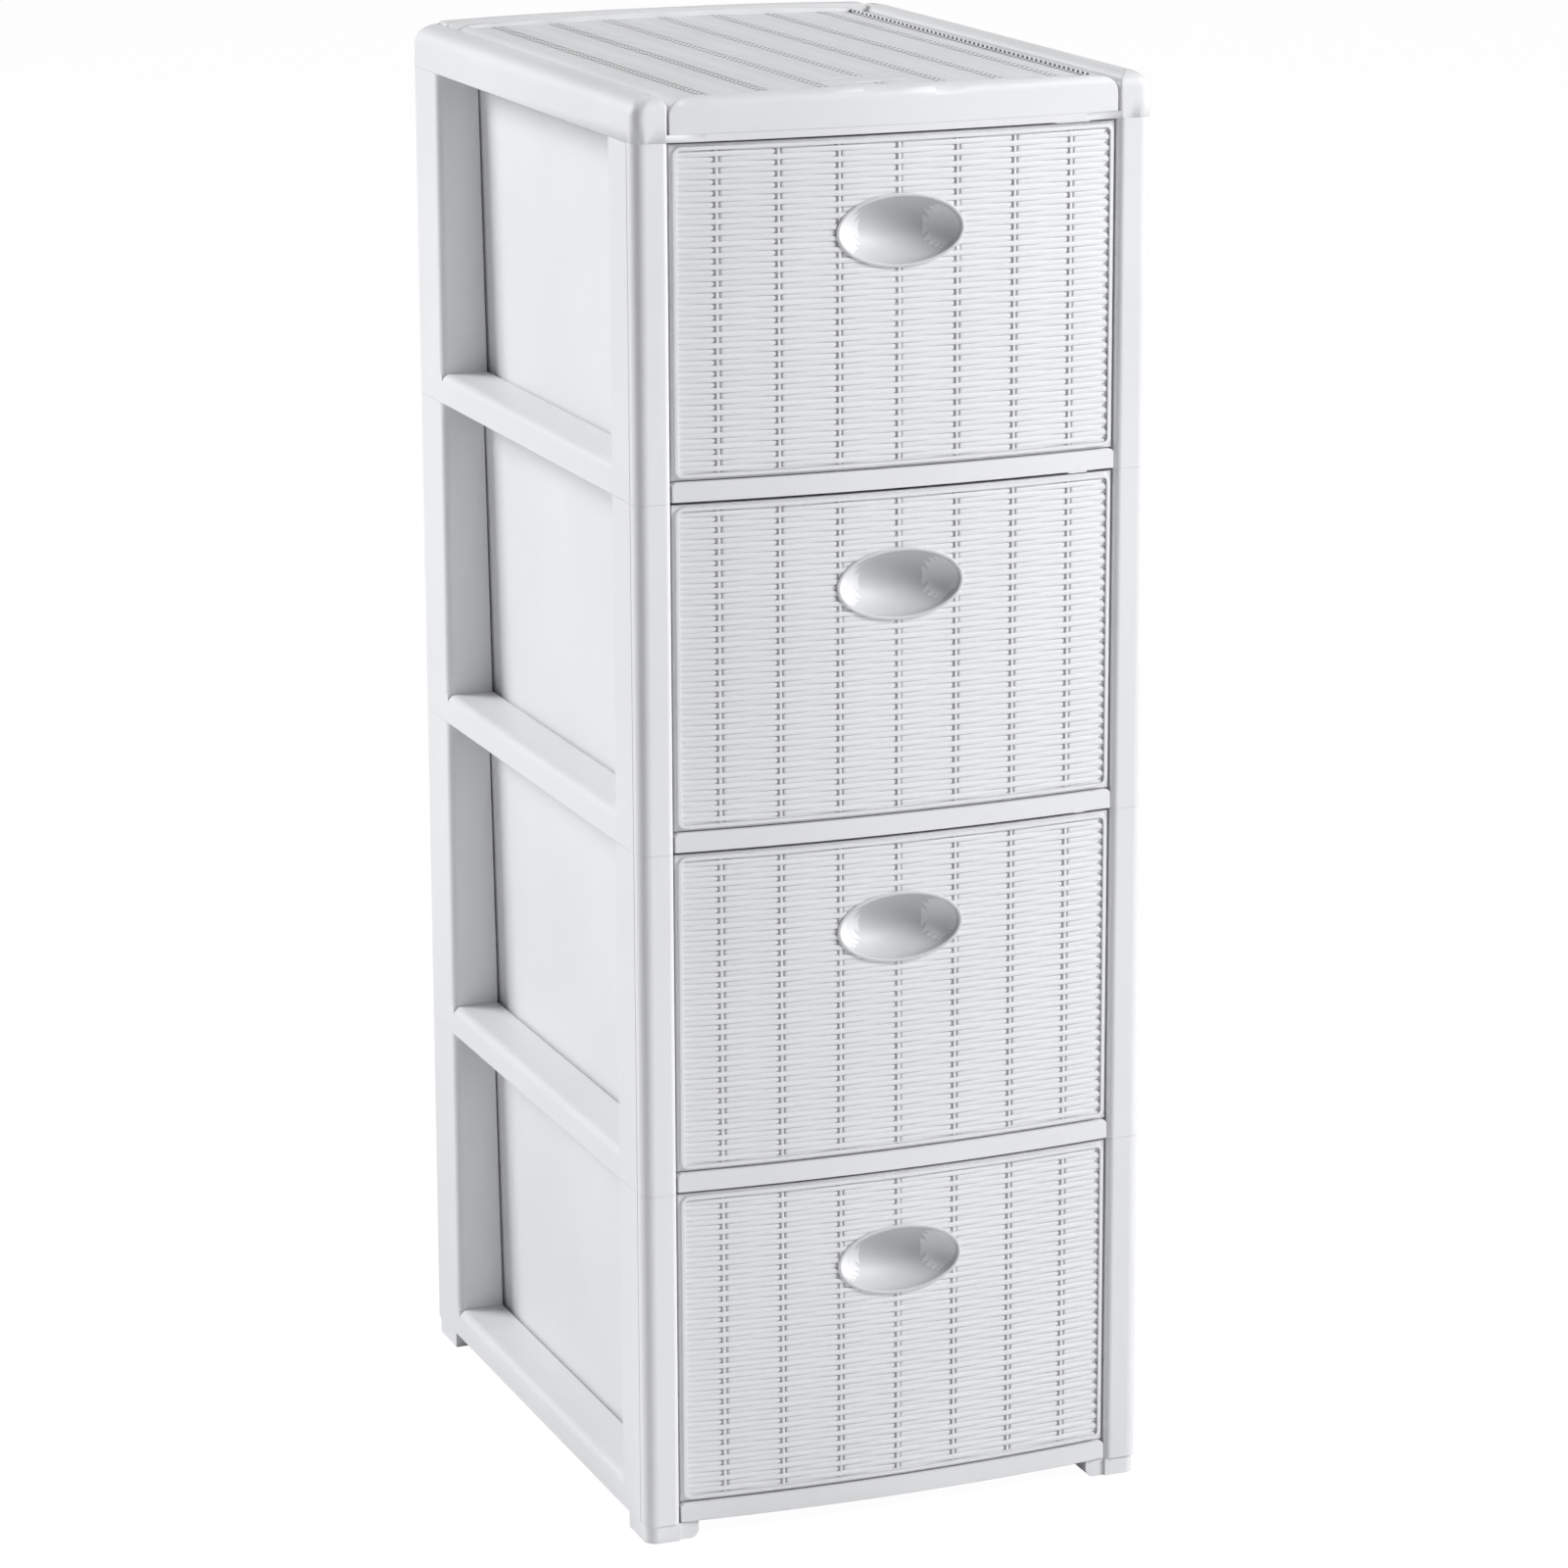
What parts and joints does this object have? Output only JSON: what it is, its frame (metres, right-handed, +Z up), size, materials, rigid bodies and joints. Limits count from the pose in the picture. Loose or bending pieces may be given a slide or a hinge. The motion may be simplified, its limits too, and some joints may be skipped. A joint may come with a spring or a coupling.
{
  "type": "drawer tower",
  "caption": "Tall narrow free-standing tower of white plastic with stacked sliding drawers, open-sided frames and bowed woven-look fronts with finger recesses.",
  "frame": {"origin": "middle of the footprint on the floor", "axes": "+Z up, the drawer fronts face -Y, +X to the right seen from the front"},
  "size_m": [0.3, 0.39, 0.8094],
  "materials": {
    "frame": "satin moulded",
    "drawer": "satin, woven relief",
    "top_panel": "satin, woven relief"
  },
  "bodies": {
    "frame": {"top_frame": "frame", "top_panel": "top_panel", "side_frame_left_1": "frame", "side_frame_left_2": "frame", "side_frame_left_3": "frame", "side_frame_left_4": "frame", "side_frame_right_1": "frame", "side_frame_right_2": "frame", "side_frame_right_3": "frame", "side_frame_right_4": "frame", "shelf_1": "frame", "shelf_2": "frame", "shelf_3": "frame", "shelf_4": "frame", "foot_front_left": "frame", "foot_front_right": "frame", "foot_rear_left": "frame", "foot_rear_right": "frame"},
    "drawer_1": {"drawer_1": "drawer"},
    "drawer_2": {"drawer_2": "drawer"},
    "drawer_3": {"drawer_3": "drawer"},
    "drawer_4": {"drawer_4": "drawer"}
  },
  "joints": [
    {"name": "drawer_1_slide", "type": "slide", "parent": "frame", "child": "drawer_1", "axis": [0, -1, 0], "range_m": [0, 0.26]},
    {"name": "drawer_2_slide", "type": "slide", "parent": "frame", "child": "drawer_2", "axis": [0, -1, 0], "range_m": [0, 0.26]},
    {"name": "drawer_3_slide", "type": "slide", "parent": "frame", "child": "drawer_3", "axis": [0, -1, 0], "range_m": [0, 0.26]},
    {"name": "drawer_4_slide", "type": "slide", "parent": "frame", "child": "drawer_4", "axis": [0, -1, 0], "range_m": [0, 0.26]}
  ]
}
